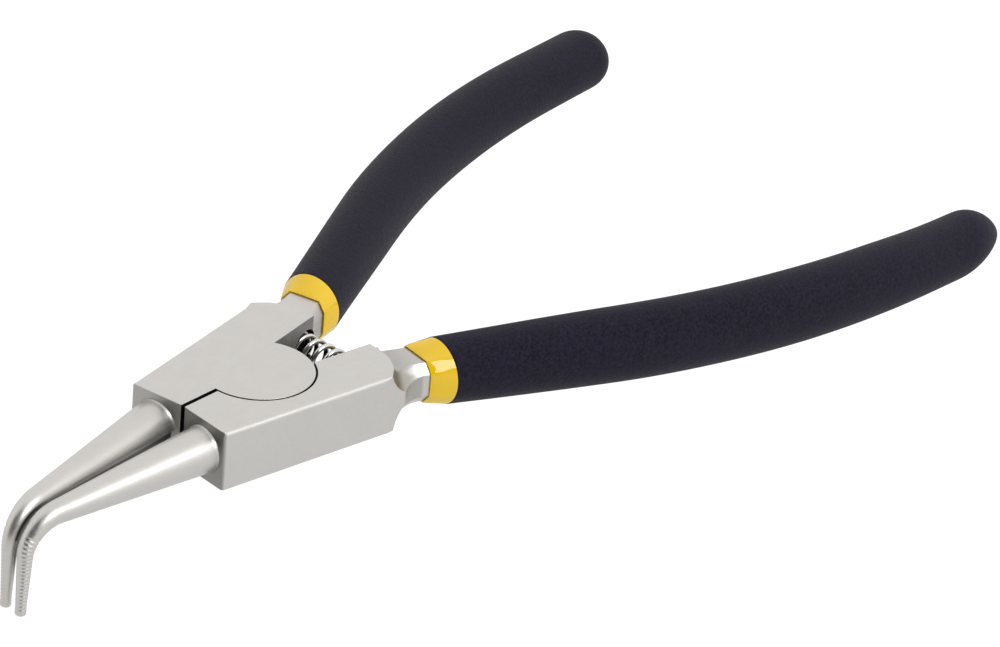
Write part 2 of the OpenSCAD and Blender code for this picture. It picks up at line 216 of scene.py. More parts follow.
# grindMarks: noise drawn out along X into short fine scratches
grindMarks, given, made = newGroup(
    "grindMarks", [("Vector", "NodeSocketVector", None), ("Scale", "NodeSocketFloat", 3000.0),
                   ("Stretch", "NodeSocketFloat", 0.05)], [("Value", "NodeSocketFloat")])
part = grindMarks.nodes.new("ShaderNodeSeparateXYZ")
grindMarks.links.new(given["Vector"], part.inputs[0])
drawn = grindMarks.nodes.new("ShaderNodeCombineXYZ")
grindMarks.links.new(addMath(grindMarks, "MULTIPLY", part.outputs["X"], given["Stretch"]), drawn.inputs["X"])
grindMarks.links.new(part.outputs["Y"], drawn.inputs["Y"])
grindMarks.links.new(part.outputs["Z"], drawn.inputs["Z"])
grindMarks.links.new(addNoise(grindMarks, drawn.outputs[0], given["Scale"], 3.0, 0.6), made["Value"])


def placeGroup(tree, group, vector, **values):
    # a node group put to use, with its numbers set
    node = tree.nodes.new("ShaderNodeGroup")
    node.node_tree = group
    tree.links.new(vector, node.inputs["Vector"])
    for label, value in values.items():
        node.inputs[label].default_value = value
    return node.outputs["Value"]


def colourBetween(tree, factor, dark, light):
    # dark where the factor is 0, light where it is 1
    node = tree.nodes.new("ShaderNodeMix")
    node.data_type = "RGBA"
    tree.links.new(factor, node.inputs["Factor"])
    node.inputs["A"].default_value = (*dark, 1.0)
    node.inputs["B"].default_value = (*light, 1.0)
    return node.outputs["Result"]


def addBump(tree, shader, height, strength, distance):
    # tilts the shading by the slope of height
    node = tree.nodes.new("ShaderNodeBump")
    node.inputs["Strength"].default_value = strength
    node.inputs["Distance"].default_value = distance
    tree.links.new(height, node.inputs["Height"])
    tree.links.new(node.outputs["Normal"], shader["Normal"])


def nearTo(tree, value, target, inner, outer):
    # 1 where a value is within inner of its target, 0 beyond outer
    return addRange(tree, addMath(tree, "ABSOLUTE", addMath(tree, "SUBTRACT", value, target)), inner, outer, 1.0, 0.0)


def darkened(tree, colour, factor, shade):
    # colour times shade where the factor is 1
    node = tree.nodes.new("ShaderNodeMix")
    node.data_type, node.blend_type = "RGBA", "MULTIPLY"
    tree.links.new(factor, node.inputs["Factor"])
    tree.links.new(colour, node.inputs["A"])
    node.inputs["B"].default_value = (*shade, 1.0)
    return node.outputs["Result"]


# values of the noise between which roughness runs from smooth to rough
markSpread, pebbleSpread = (0.3, 0.7), (0.25, 0.75)


def makeSteel(name, look, shadePlaces=None):
    # satin metal: clouded colour, roughness broken by grinding marks, the marks pressed in as bump
    material, tree, shader, where = newMaterial(name)
    cloud = placeGroup(tree, mottle, where, Scale=look["cloudScale"], Contrast=look["cloudContrast"])
    marks = placeGroup(tree, grindMarks, where, Scale=look["markScale"], Stretch=look["markStretch"])
    colour = colourBetween(tree, cloud, look["dark"], look["light"])
    # painted shade: darker where the places mask is high
    if shadePlaces:
        colour = darkened(tree, colour, shadePlaces(tree, where), look["shadeTint"])
    # painted shade on the side named by the attribute, such as a coil's inner side
    if "shadeSide" in look:
        inner = tree.nodes.new("ShaderNodeAttribute")
        inner.attribute_name = look["shadeSide"]
        colour = darkened(tree, colour, inner.outputs["Fac"], look["shade"])
    feed(tree, shader["Base Color"], colour)
    feed(tree, shader["Roughness"], addRange(tree, marks, *markSpread, look["smooth"], look["rough"]))
    feed(tree, shader["Metallic"], 1.0)
    addBump(tree, shader, marks, look["bump"], look["bumpDepth"])
    return material


def makeVinyl(name, look):
    # dipped plastic: pebbles as bump, their tops a little lighter, slow change of tone beneath
    material, tree, shader, where = newMaterial(name)
    pebble = placeGroup(tree, mottle, where, Scale=look["pebbleScale"], Contrast=look["pebbleContrast"])
    tone = placeGroup(tree, mottle, where, Scale=look["toneScale"], Contrast=look["toneContrast"])
    shade = addMath(tree, "ADD", addMath(tree, "MULTIPLY", pebble, look["fleck"]),
                    addMath(tree, "MULTIPLY", tone, 1.0 - look["fleck"]))
    feed(tree, shader["Base Color"], colourBetween(tree, shade, look["dark"], look["light"]))
    feed(tree, shader["Roughness"], addRange(tree, pebble, *pebbleSpread, look["smooth"], look["rough"]))
    feed(tree, shader["Specular IOR Level"], look["gloss"])
    feed(tree, shader["Coat Weight"], look["coat"])
    feed(tree, shader["Coat Roughness"], look["coatRough"])
    feed(tree, shader["Coat IOR"], look["coatIndex"])
    addBump(tree, shader, pebble, look["bump"], look["bumpDepth"])
    return material


wireSteel = makeSteel("brightWire", {
    "dark": (0.72, 0.71, 0.69), "light": (0.88, 0.87, 0.85), "cloudScale": 700.0, "cloudContrast": 1.4,
    "markScale": 9000.0, "markStretch": 1.0, "smooth": 0.14, "rough": 0.24, "bump": 0.06, "bumpDepth": 0.00003,
    "shadeSide": "coilInside", "shade": (0.05, 0.05, 0.05)})
yellowVinyl = makeVinyl("yellowDip", {
    "dark": (0.90, 0.56, 0.0015), "light": (0.97, 0.65, 0.006), "pebbleScale": 900.0, "pebbleContrast": 0.7,
    "toneScale": 130.0, "toneContrast": 1.2, "fleck": 0.25, "smooth": 0.30, "rough": 0.42, "gloss": 0.0,
    "coat": 1.0, "coatRough": 0.07, "coatIndex": 1.62, "bump": 0.05, "bumpDepth": 0.00010})
darkVinyl = makeVinyl("darkDip", {
    "dark": (0.0012, 0.001, 0.004), "light": (0.029, 0.0262, 0.051), "pebbleScale": 2300.0, "pebbleContrast": 4.0,
    "toneScale": 60.0, "toneContrast": 1.0, "fleck": 0.7, "smooth": 0.42, "rough": 0.56, "gloss": 0.12,
    "coat": 0.0, "coatRough": 0.3, "coatIndex": 1.5, "bump": 0.55, "bumpDepth": 0.00025})
print("wire and vinyl mixed")


# the handle's line: straight from the foot, an arc turning back, a straight tail
handle = {"angle": 25.2, "foot": 0.9, "straight": 52.5, "radius": 154.0, "turn": 21.0, "tail": 17.2, "level": 5.0}
turnLength = handle["radius"] * np.radians(handle["turn"])
handleEnd = handle["straight"] + turnLength + handle["tail"]


def place(s, left, up):
    # point s along the handle's line, then to its left and up from it
    s, left, up = np.broadcast_arrays(*(np.asarray(v, float) for v in (s, left, up)))
    first = np.radians(handle["angle"])
    heading = first - np.clip(s - handle["straight"], 0.0, turnLength) / handle["radius"]
    run = np.minimum(s, handle["straight"])
    tail = np.maximum(s - handle["straight"] - turnLength, 0.0)
    x = run * np.cos(first) - handle["radius"] * (np.sin(heading) - np.sin(first)) + tail * np.cos(heading)
    y = run * np.sin(first) + handle["radius"] * (np.cos(heading) - np.cos(first)) + tail * np.sin(heading)
    return np.stack([x - left * np.sin(heading), handle["foot"] + y + left * np.cos(heading),
                     handle["level"] + up], -1)


def dress(obj, body, material, node):
    # material, body, replaced node and slot of one piece
    obj.data.materials.clear()
    obj.data.materials.append(material)
    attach(obj, body)
    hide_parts(node)


# eight-sided neck bar, its corners to the left and up from the handle's line
neck = {"width": 6.8, "height": 6.2, "cornerOut": 0.65, "cornerUp": 0.52, "innerCut": 0.3, "edgeCut": 0.16,
        "tangWidth": 4.4, "tangHeight": 5.6, "tangCorner": 0.9, "tangAhead": 0.4, "tangShort": 13.2,
        "flareBack": 2.1, "flare": 6.7, "flatRunOut": 6.0, "flatStart": 4.0, "sideRunOut": 4.33,
        "lowRunOut": 5.2, "topRunOut": 0.9, "topStart": 0.6, "innerSink": 0.5, "sinkBack": 1.1, "sinkLength": 0.6,
        "topBand": 0.25, "lowBand": 0.12, "rootBack": 1.6, "rootShare": 0.7,
        "flareSteps": 68, "tangSteps": 40, "edgeSteps": 5}
neckInner = 0.5 * neck["width"] - neck["innerCut"]
cornerOut, cornerUp = neck["cornerOut"], neck["cornerUp"]
neckHalf = 0.5 * np.array([neck["width"], neck["height"]])
neckBar = neckHalf * [[1.0, cornerUp], [cornerOut, 1.0], [-cornerOut, 1.0], [-1.0, cornerUp],
                      [-1.0, -cornerUp], [-cornerOut, -1.0], [cornerOut, -1.0], [1.0, -cornerUp]]
neckBar[3:5, 0] = -neckInner
# the upper outer flat: the way it faces and how far it stands from the handle's line
flatFacing = (neckHalf * [1.0 - cornerOut, 1.0 - cornerUp])[::-1]
flatFacing = flatFacing / np.linalg.norm(flatFacing)
flatReach = flatFacing @ neckBar[0]


def flatsRadius(angles, corners):
    # distance from the middle to the sides of a convex ring of corners, along each angle
    side = np.roll(corners, -1, axis=0) - corners
    normal = np.stack([side[:, 1], -side[:, 0]], -1)
    normal /= np.linalg.norm(normal, axis=1, keepdims=True)
    reach = np.sum(normal * corners, axis=1)
    normal, reach = normal * np.sign(reach)[:, None], np.abs(reach)
    facing = np.cos(angles)[:, None] * normal[:, 0] + np.sin(angles)[:, None] * normal[:, 1]
    return np.min(np.where(facing > 1e-6, reach / np.maximum(facing, 1e-6), 99.0), axis=1)


# dark grips
grip = {"start": 25.9, "frontWidth": 9.2, "frontHeight": 9.6, "middleWidth": 9.8, "middleHeight": 11.1,
        "endWidth": 10.5, "endHeight": 9.6, "nose": 5.0, "wall": 0.9, "lean": 14.0, "lip": 0.3, "gap": 0.03,
        "leanFrom": 0.8, "leanFade": 7.0, "endLength": 14.0, "leftShort": 0.6, "leftBlunt": 0.8,
        "rightNose": 8.9, "rightNoseSkew": 2.7, "rightSkewAngle": -48.0, "rightBlunt": 0.70, "rightBluntSkew": 0.05,
        "rightSqueeze": 0.09, "squeezeFrom": 98.0, "squeezeLength": 18.0, "rightSag": 0.74, "sagLength": 9.0,
        "widenBy": 0.36, "spreadFrom": 0.42, "spreadOver": 0.53, "riseBy": 0.33, "fallFrom": 0.5, "fallOver": 0.45,
        "innerBack": 1.0, "innerPinch": 0.8, "lipBack": 0.3, "endAngles": (4.0, 89.2),
        "innerSteps": 60, "lipSteps": 6, "bodySteps": 140, "endSteps": 40, "aroundSteps": 120}
aroundGrip = circle(grip["aroundSteps"])
tangStart = grip["start"] - neck["tangAhead"]
leanRate = np.tan(np.radians(grip["lean"]))


def gripSection(s):
    # width grows front to middle to end; height rises quickly behind the front and falls again to the end;
    # where each change starts and ends is a share of the grip's length
    p = (s - grip["start"]) / (handleEnd - grip["start"])
    wide = mix(mix(grip["frontWidth"], grip["middleWidth"], smoothStep(p / grip["widenBy"])), grip["endWidth"],
               smoothStep((p - grip["spreadFrom"]) / grip["spreadOver"]))
    rise = np.sin(0.5 * np.pi * np.clip(p / grip["riseBy"], 0.0, 1.0))
    high = mix(mix(grip["frontHeight"], grip["middleHeight"], rise), grip["endHeight"],
               smoothStep((p - grip["fallFrom"]) / grip["fallOver"]))
    return wide, high


def leanAt(s):
    # slant of the mouth, fading to none behind it
    return leanRate * (1.0 - smoothStep((s - grip["start"] - grip["leanFrom"]) / grip["leanFade"]))


def ovalRings(s, width, height, sag=0.0):
    # one oval ring for each entry of s, sizes (m,) or (m, n); near the mouth a point slides along by its place
    # to the left, near the end the ring sinks by up to sag
    s = np.asarray(s, float)[:, None]
    width, height = (np.reshape(v, (len(s), -1)) for v in (width, height))
    left = 0.5 * width * np.cos(aroundGrip)
    drop = sag * np.clip((s - handleEnd + grip["sagLength"]) / grip["sagLength"], 0.0, 1.0) ** 3
    skew = np.radians(grip["rightSkewAngle"])
    up = 0.5 * height * np.sin(aroundGrip)
    return place(s + leanAt(s) * left, left + drop * np.cos(skew), up + drop * np.sin(skew))


def polarRings(s, radius):
    # rings whose radius (m, n) is given along each angle
    s = np.asarray(s, float)[:, None]
    left = radius * np.cos(aroundGrip)
    return place(s + leanAt(s) * left, left, radius * np.sin(aroundGrip))


def leftNose(s):
    # share of the section that is left near a round end: a power of the cosine whose sine is the way into it
    into = np.clip((s - handleEnd + grip["leftShort"] + grip["nose"]) / grip["nose"], 0.0, 1.0)
    return np.repeat(np.cos(np.arcsin(into))[:, None] ** grip["leftBlunt"], len(aroundGrip), axis=1)


def rightNose(s):
    # longer, more pointed end that starts earlier low on the outer side, its upper inner side pressed in a little
    facing = np.cos(aroundGrip - np.radians(grip["rightSkewAngle"]))
    length = grip["rightNose"] + grip["rightNoseSkew"] * facing
    into = np.clip((s[:, None] - handleEnd + length) / length, 0.0, 1.0)
    pressed = smoothStep((s[:, None] - grip["squeezeFrom"]) / grip["squeezeLength"]) * (0.5 - 0.5 * facing)
    blunt = grip["rightBlunt"] + grip["rightBluntSkew"] * facing
    return (1.0 - into ** 2) ** blunt * (1.0 - grip["rightSqueeze"] * pressed)


def gripRings(noseShare, end, sag):
    # inner wall back to front, rounded lip, then the long body and its closing end
    q = np.radians(np.linspace(0.0, 90.0, grip["lipSteps"]))
    lip, wall, mouth = grip["lip"], grip["wall"], grip["start"] + grip["gap"]
    innerS = np.linspace(handleEnd - grip["nose"] - grip["innerBack"], mouth, grip["innerSteps"])
    lipS = mouth + lip * (1.0 - np.cos(q))
    closing = np.radians(np.linspace(*grip["endAngles"], grip["endSteps"]))
    bodyS = np.concatenate([np.linspace(mouth + lip + grip["lipBack"], end - grip["endLength"], grip["bodySteps"]),
                            end - grip["endLength"] * np.cos(closing)])
    s = np.concatenate([innerS[:1], innerS, lipS, bodyS])
    cut = np.concatenate([[wall + grip["innerPinch"]], np.full_like(innerS, wall), lip * (1.0 - np.sin(q)),
                          np.zeros_like(bodyS)])
    wide, high = gripSection(s)
    share, cut = noseShare(s), cut[:, None]
    return ovalRings(s, wide[:, None] * share - 2.0 * cut, high[:, None] * share - 2.0 * cut, sag)


leftPoints = gripRings(leftNose, handleEnd - grip["leftShort"], 0.0)
rightPoints = gripRings(rightNose, handleEnd, grip["rightSag"])
for side, points in (("left", leftPoints), ("right", mirrorY(rightPoints))):
    dress(tube(side + "GripDip", points, smoothAngle=60), side + "_half", darkVinyl, side + "_grip")
print("grips made")


# yellow sleeves: a collar that shows, and a thin sock under the grip
collar = {"start": 22.4, "edge": 0.2, "swell": 0.8, "fit": 0.04, "tangFit": 0.06, "boreShort": 13.0,
          "boreLip": 0.1, "mouthInset": 0.1, "sockFrom": 0.6, "sockShort": 12.0, "sockClose": 0.5, "sockPinch": 1.6,
          "boreSteps": 40, "skinSteps": 16, "sockSteps": 60}


def sleeveRings():
    # bore back to front, then a skin ruled from just over the neck's flats to the grip's oval, step down, sock
    under = grip["wall"] + grip["gap"]
    tang = np.array([[1, 1], [-1, 1], [-1, -1], [1, -1]]) * [0.5 * neck["tangWidth"], 0.5 * neck["tangHeight"]]
    hole = flatsRadius(aroundGrip, tang) + collar["tangFit"]
    bore = flatsRadius(aroundGrip, neckBar) + collar["fit"]
    mouth = 0.5 / np.hypot(np.cos(aroundGrip) / (grip["frontWidth"] - collar["mouthInset"]),
                           np.sin(aroundGrip) / (grip["frontHeight"] - collar["mouthInset"]))
    holeS = np.linspace(handleEnd - collar["boreShort"], tangStart, collar["boreSteps"])
    t = np.linspace(0.0, 1.0, collar["skinSteps"])
    front = np.concatenate([holeS[:1], holeS, [tangStart, collar["start"] + collar["boreLip"]],
                            collar["start"] + (grip["start"] - collar["start"]) * t])
    radius = np.concatenate([[0.5 * hole], np.repeat(hole[None], len(holeS), axis=0), [bore, bore],
                             mix(bore + collar["edge"], mouth, t[:, None] ** collar["swell"])])
    sockS = np.linspace(grip["start"] + collar["sockFrom"], handleEnd - collar["sockShort"], collar["sockSteps"])
    s = np.concatenate([[grip["start"]], sockS, sockS[-1:] + collar["sockClose"]])
    w, h = (np.concatenate([[first], size, size[-1:] - collar["sockPinch"]]) - 2.0 * under for first, size in zip(
        (grip["frontWidth"], grip["frontHeight"]), gripSection(sockS)))
    return np.concatenate([polarRings(front, radius), ovalRings(s, w, h)])


rings = sleeveRings()
for side, points in (("left", rings), ("right", mirrorY(rings))):
    sleeve = tube(side + "SleeveDip", points, smoothAngle=50)
    dress(sleeve, side + "_half", yellowVinyl, side + "_sleeve")
print("sleeves made")


# return spring
spring = {"reach": 14.8, "level": 4.45, "diameter": 3.7, "wire": 0.72, "turns": 8.22, "start": 170.4,
          "half": 6.5, "deadTurns": 0.9, "deadPitch": 0.76, "steps": 44, "wireSteps": 18, "shadeEdge": 1.2,
          "easeSteps": 15}


def springRings():
    # wire circle carried along a helix about Y whose pitch is closed at both ends
    # also a share for each point of how far it lies on the inner side of the coil, where the wire gets painted shade
    t = np.linspace(0.0, spring["turns"], int(spring["steps"] * spring["turns"]) + 1)
    dead = spring["deadTurns"]
    livePitch = 2.0 * (spring["half"] - dead * spring["deadPitch"]) / (spring["turns"] - 2.0 * dead)
    knots = np.array([0.0, dead, spring["turns"] - dead, spring["turns"]])
    heights = np.array([-spring["half"], -spring["half"] + dead * spring["deadPitch"], 0.0, spring["half"]])
    heights[2] = heights[1] + livePitch * (knots[2] - knots[1])
    y = np.interp(t, knots, heights)
    ease = np.hanning(spring["easeSteps"])      # rounds the changes of pitch
    y = np.pad(y, spring["easeSteps"] // 2, mode="reflect", reflect_type="odd")
    y = np.convolve(y, ease / ease.sum(), mode="valid")
    a = t * 2.0 * np.pi + np.radians(spring["start"])
    centre = np.stack([spring["reach"] + 0.5 * spring["diameter"] * np.cos(a), y,
                       spring["level"] + 0.5 * spring["diameter"] * np.sin(a)], -1)
    along = np.gradient(centre, axis=0)
    along /= np.linalg.norm(along, axis=1, keepdims=True)
    outward = np.stack([np.cos(a), np.zeros_like(a), np.sin(a)], -1)
    sideways = np.cross(along, outward)
    c = circle(spring["wireSteps"])[:, None]
    # painted shade on the inner side of the wire, eased over shadeEdge
    inner = np.tile(smoothStep(0.5 - spring["shadeEdge"] * np.cos(c[:, 0])), (len(t), 1))
    spoke = np.cos(c) * outward[:, None] + np.sin(c) * sideways[:, None]
    return inner, centre[:, None] + 0.5 * spring["wire"] * spoke


inside, rings = springRings()
coil = tube("springCoil", rings, smoothAngle=50)
coil.data.attributes.new("coilInside", "FLOAT", "POINT").data.foreach_set("value", inside.ravel())
coil.data.materials.append(wireSteel)
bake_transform(coil)
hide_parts("return_spring")
print("spring made")


# levers: half of the head, bent jaw, neck and tang, joined into one solid each
head = {"thick": 8.9, "lapRadius": 7.8, "lapGap": 0.3, "faceGap": 0.08, "slot": 0.66, "frontWidth": 17.3,
        "rearWidth": 26.6, "frontReach": 14.75, "shoulder": 17.9, "faceSlope": 0.17, "edge": 0.06,
        "topEdge": 0.75, "bottomEdge": 0.12, "edgeFull": 0.95,
        "cornerFillet": (0.12, 0.5, 0.012, 0.9, 0.9, 0.6, 0.12), "slotLap": 0.003,
        "rearStep": 1.3, "rearSet": 2.6, "rearCurve": ((-0.17, 3.45), (0.14, 1.3), (0.0, -0.2)),
        "innerStep": 1.0, "innerClear": 0.08, "rivetRadius": 2.6, "rivetEndRadius": 3.3, "rivetEnd": 0.8,
        "pocketRadius": 2.7, "pocketDepth": 2.2, "sharpAngle": 28.0, "rivetSteps": 96, "edgeSteps": 5,
        "cornerSteps": 6, "discSteps": 150, "recessSteps": 90, "pocketSteps": 72}
jaw = {"offset": 4.45, "toe": 5.9, "dip": 2.0, "baseD": 6.6, "cone": 24.0, "bendStartD": 3.2, "bendEndD": 2.1,
       "bendRadius": 5.4, "bend": 85.0, "tip": 8.4, "pinD": 1.5, "pin": 1.2, "grooves": 20,
       "groovePitch": 0.54, "grooveFrom": -3.0, "grooveDepth": 0.09, "grooveLow": 0.4, "grooveSide": (0.05, 0.8),
       "root": 1.5, "fillet": 0.12, "crown": 0.35, "crownInset": 0.5, "crownBack": 0.1,
       "coneSteps": 40, "bendSteps": 30, "tipSteps": 240, "crownSteps": 9, "aroundSteps": 80}
middle = 0.5 * head["thick"]
lapFace = middle + 0.5 * head["faceGap"]


def beside(along, left):
    # plan point along the handle's line and to its left
    return place(along, left, 0.0)[..., :2]


# the head's rear face is the line y = faceRise + faceSlope * x, from this corner inwards
shoulderInner = beside(head["shoulder"] - head["innerStep"], -neckInner - head["innerClear"])
faceRise = shoulderInner[1] - head["faceSlope"] * shoulderInner[0]


def filletChain(points, radius, steps):
    # each inner corner gives way to a quadratic curve between two points at an equal distance from it
    back = points[:-2] - points[1:-1]
    ahead = points[2:] - points[1:-1]
    backLength = np.linalg.norm(back, axis=1, keepdims=True)
    aheadLength = np.linalg.norm(ahead, axis=1, keepdims=True)
    reach = np.minimum(radius, 0.4 * np.minimum(backLength, aheadLength))
    a = points[1:-1] + back / backLength * reach
    b = points[1:-1] + ahead / aheadLength * reach
    t = np.linspace(0.0, 1.0, steps)[None, :, None]
    curve = (1 - t) ** 2 * a[:, None] + 2 * t * (1 - t) * points[1:-1][:, None] + t ** 2 * b[:, None]
    return np.concatenate([points[:1], curve.reshape(-1, 2), points[-1:]])


def insetLoop(loop, depth):
    # closed loop moved inwards, each point along the bisector of its two edges
    edge = np.roll(loop, -1, axis=0) - loop
    edge /= np.linalg.norm(edge, axis=1, keepdims=True)
    area = np.sum(loop[:, 0] * np.roll(loop[:, 1], -1) - loop[:, 1] * np.roll(loop[:, 0], -1))
    inward = np.stack([-edge[:, 1], edge[:, 0]], -1) * np.sign(area)
    before = np.roll(inward, 1, axis=0)
    bisector = (before + inward) / (1.0 + np.sum(before * inward, axis=1, keepdims=True))
    return loop + bisector * depth[:, None]


def slab(loop, depth, zFar, zRound, offset):
    # wall of a loop from the flat level zFar to the rounded level zRound, one ring for each step of the round
    up = np.sign(zRound - zFar)
    q = np.radians(np.linspace(0.0, 90.0, head["edgeSteps"]))
    rings = [np.column_stack([loop, np.full(len(loop), zFar)])]
    rings += [np.column_stack([insetLoop(loop, depth * (1 - np.cos(k))), zRound - up * depth * (1 - np.sin(k))])
              for k in q]
    rings = np.array(rings)
    faces = ringFaces(*rings.shape[:2])[:-2]
    return rings.reshape(-1, 3), [[i + offset for i in f] for f in faces]


def fillFlat(points, *loops):
    # flat face between an outer loop of point numbers and the holes in it, as triangles
    triangles = tessellate_polygon([[Vector(points[i]) for i in loop] for loop in loops])
    index = np.concatenate(loops)
    return [[int(index[i]) for i in t] for t in triangles]


def frontX(y):
    # the front face, square to the jaw's line
    return -head["frontReach"] - (y - jaw["offset"]) * np.tan(np.radians(jaw["toe"]))


def outerCorners():
    # front and rear end of the head's outer side
    frontY, rearY = 0.5 * head["frontWidth"], 0.5 * head["rearWidth"]
    rearX = beside(head["shoulder"] - head["rearStep"], 0.0)[0] - head["rearSet"]
    return np.array([[frontX(frontY), frontY], [rearX, rearY]])


def headMesh(discEdge, plainEdge):
    # upper layer: half plan and lap disc; lower layer: half plan less the other half's disc
    # the long outer edge is rounded by discEdge above and by plainEdge below, the others by a hair
    slotY = 0.5 * head["slot"]
    slope, rise = head["faceSlope"], faceRise
    # x at which a circle of radius r about the pivot meets the rear face
    onFace = lambda r: (-slope * rise + np.sqrt(r * r * (1 + slope ** 2) - rise ** 2)) / (1 + slope ** 2)
    disc, recess = head["lapRadius"], head["lapRadius"] + head["lapGap"]
    discX, recessX = onFace(disc), onFace(recess)
    corners = np.array([[-np.sqrt(recess ** 2 - slotY ** 2), slotY - head["slotLap"]], [frontX(slotY), slotY],
                        *outerCorners(), *(beside(head["shoulder"] + s, left) for s, left in head["rearCurve"]),
                        shoulderInner, [recessX, rise + slope * recessX]])
    steps = head["cornerSteps"]
    shared = filletChain(corners, np.array(head["cornerFillet"])[:, None], steps)
    # one more point on the long side, from which its rounding dies away to the rear corner
    last = mix(shared[2 * steps], shared[1 + 2 * steps], head["edgeFull"])
    shared = np.insert(shared, 1 + 2 * steps, last, axis=0)
    spot = lambda x, y: np.arctan2(y, x)
    discStart = spot(discX, rise + slope * discX)
    discEnd = spot(-np.sqrt(disc ** 2 - slotY ** 2), slotY) - 2 * np.pi
    arc = np.linspace(discStart, discEnd, head["discSteps"])
    upper = np.concatenate([shared, disc * np.stack([np.cos(arc), np.sin(arc)], -1)])
    arc = np.linspace(spot(*corners[-1]), spot(*corners[0]), head["recessSteps"])[1:-1]
    lower = np.concatenate([shared, recess * np.stack([np.cos(arc), np.sin(arc)], -1)])
    ease = np.linspace(0.0, 1.0, steps)
    depthUpper, depthLower = np.full(len(upper), head["edge"]), np.full(len(lower), head["edge"])
    for depth, longEdge in ((depthUpper, discEdge), (depthLower, plainEdge)):
        depth[1 + steps:2 + 2 * steps] = mix(head["edge"], longEdge, np.append(ease, 1.0))
    n = head["rivetSteps"]
    around = circle(n)
    levels = ((head["rivetEndRadius"], head["thick"]), (head["rivetRadius"], head["thick"] - head["rivetEnd"]),
              (head["rivetRadius"], lapFace))
    hole = np.array([np.column_stack([r * np.cos(around), r * np.sin(around), np.full(n, z)]) for r, z in levels])
    upperPoints, upperFaces = slab(upper, depthUpper, lapFace, head["thick"], 0)
    lowerFrom = len(upperPoints)
    lowerPoints, lowerFaces = slab(lower, depthLower, lapFace, 0.0, lowerFrom)
    holeFrom = lowerFrom + len(lowerPoints)
    points = np.concatenate([upperPoints, lowerPoints, hole.reshape(-1, 3)])
    faces = upperFaces + lowerFaces + [[i + holeFrom for i in f] for f in ringFaces(len(levels), n)[:-2]]
    # top, underside, and the lap face between the disc's edge and the recess's edge
    run = lambda start, count: np.arange(start, start + count)
    faces += fillFlat(points, run(head["edgeSteps"] * len(upper), len(upper)), run(holeFrom, n))
    faces += fillFlat(points, run(lowerFrom + head["edgeSteps"] * len(lower), len(lower)))
    lap = np.concatenate([np.arange(len(shared) - 1, len(upper)), [0],
                          lowerFrom + np.arange(len(shared), len(lower))[::-1]])
    faces += fillFlat(points, lap, run(holeFrom + 2 * n, n))
    return points, faces


def jawRings():
    # circle carried along cone, bend and tip; the tip's outer side is notched by a saw wave along its length
    bend = np.radians(jaw["bend"])
    bendLength = jaw["bendRadius"] * bend
    bendEnd = jaw["cone"] + bendLength
    crownStart = bendEnd + jaw["tip"] - jaw["crownBack"]
    # rings lie closer together along the fillet and the grooves
    coneT = np.concatenate([[-jaw["root"]], np.linspace(-0.2, 1.6, 14),
                            np.linspace(2.0, jaw["cone"] - 0.4, jaw["coneSteps"])])
    bendT = np.linspace(jaw["cone"], bendEnd + jaw["grooveFrom"] - 0.1, jaw["bendSteps"])
    tipT = np.linspace(bendEnd + jaw["grooveFrom"], crownStart, jaw["tipSteps"])
    q = np.radians(np.linspace(8.0, 90.0, jaw["crownSteps"]))
    endT = crownStart + jaw["crown"] * np.sin(q)
    t = np.concatenate([coneT, bendT, tipT, endT])
    a = np.clip((t - jaw["cone"]) / jaw["bendRadius"], 0.0, bend)
    past = np.maximum(t - bendEnd, 0.0)
    x = np.minimum(t, jaw["cone"]) + jaw["bendRadius"] * np.sin(a) + past * np.cos(bend)
    z = -jaw["bendRadius"] * (1 - np.cos(a)) - past * np.sin(bend)
    knots = [-jaw["root"], jaw["cone"], bendEnd, bendEnd + jaw["tip"] - jaw["pin"]]
    rootD = jaw["baseD"] + jaw["root"] * (jaw["baseD"] - jaw["bendStartD"]) / jaw["cone"]
    radius = 0.5 * np.interp(t, knots, [rootD, jaw["bendStartD"], jaw["bendEndD"], jaw["pinD"]])
    radius += jaw["fillet"] * np.exp(-np.maximum(t, 0.0) / jaw["fillet"])   # small fillet at the head's face
    radius[-len(q):] -= jaw["crownInset"] * (1 - np.cos(q))
    run = t - bendEnd - jaw["grooveFrom"]
    phase = np.mod(run, jaw["groovePitch"]) / jaw["groovePitch"]
    toothed = (run > 0.0) & (run < jaw["groovePitch"] * jaw["grooves"])
    saw = np.clip(1.0 - np.abs(phase - jaw["grooveLow"]) / jaw["grooveLow"], 0.0, 1.0)
    notch = np.where(toothed, saw, 0.0) * jaw["grooveDepth"]
    c = circle(jaw["aroundSteps"])
    sideFrom, sideOver = jaw["grooveSide"]
    facing = smoothStep((-np.cos(c) - sideFrom) / sideOver)
    r = radius[:, None] - notch[:, None] * facing
    local = np.stack([x[:, None] + r * np.sin(c) * np.sin(a)[:, None], r * np.cos(c),
                      z[:, None] + r * np.sin(c) * np.cos(a)[:, None]], -1)
    turn = Matrix.Rotation(np.radians(180.0 + jaw["toe"]), 3, "Z") @ Matrix.Rotation(np.radians(jaw["dip"]), 3, "Y")
    return local @ np.array(turn).T + np.array([-head["frontReach"], jaw["offset"], middle])


def roundedRings(corner, cut, steps):
    # rings of corner points (m, 8, 2), each corner swapped for a short quadratic curve
    back, ahead = np.roll(corner, 1, axis=1) - corner, np.roll(corner, -1, axis=1) - corner
    backLength, aheadLength = (np.linalg.norm(v, axis=-1, keepdims=True) for v in (back, ahead))
    a = corner + back / backLength * np.minimum(cut, 0.45 * backLength)
    b = corner + ahead / aheadLength * np.minimum(cut, 0.45 * aheadLength)
    t = np.linspace(0.0, 1.0, steps)[None, None, :, None]
    curve = (1 - t) ** 2 * a[:, :, None] + 2 * t * (1 - t) * corner[:, :, None] + t ** 2 * b[:, :, None]
    return curve.reshape(len(corner), -1, 2)


def runOut(s, start, radius):
    # rise of an arc that leaves its flat at start and climbs towards the head
    d = np.clip(start - s, 0.0, radius)
    return radius - np.sqrt(radius ** 2 - d ** 2)


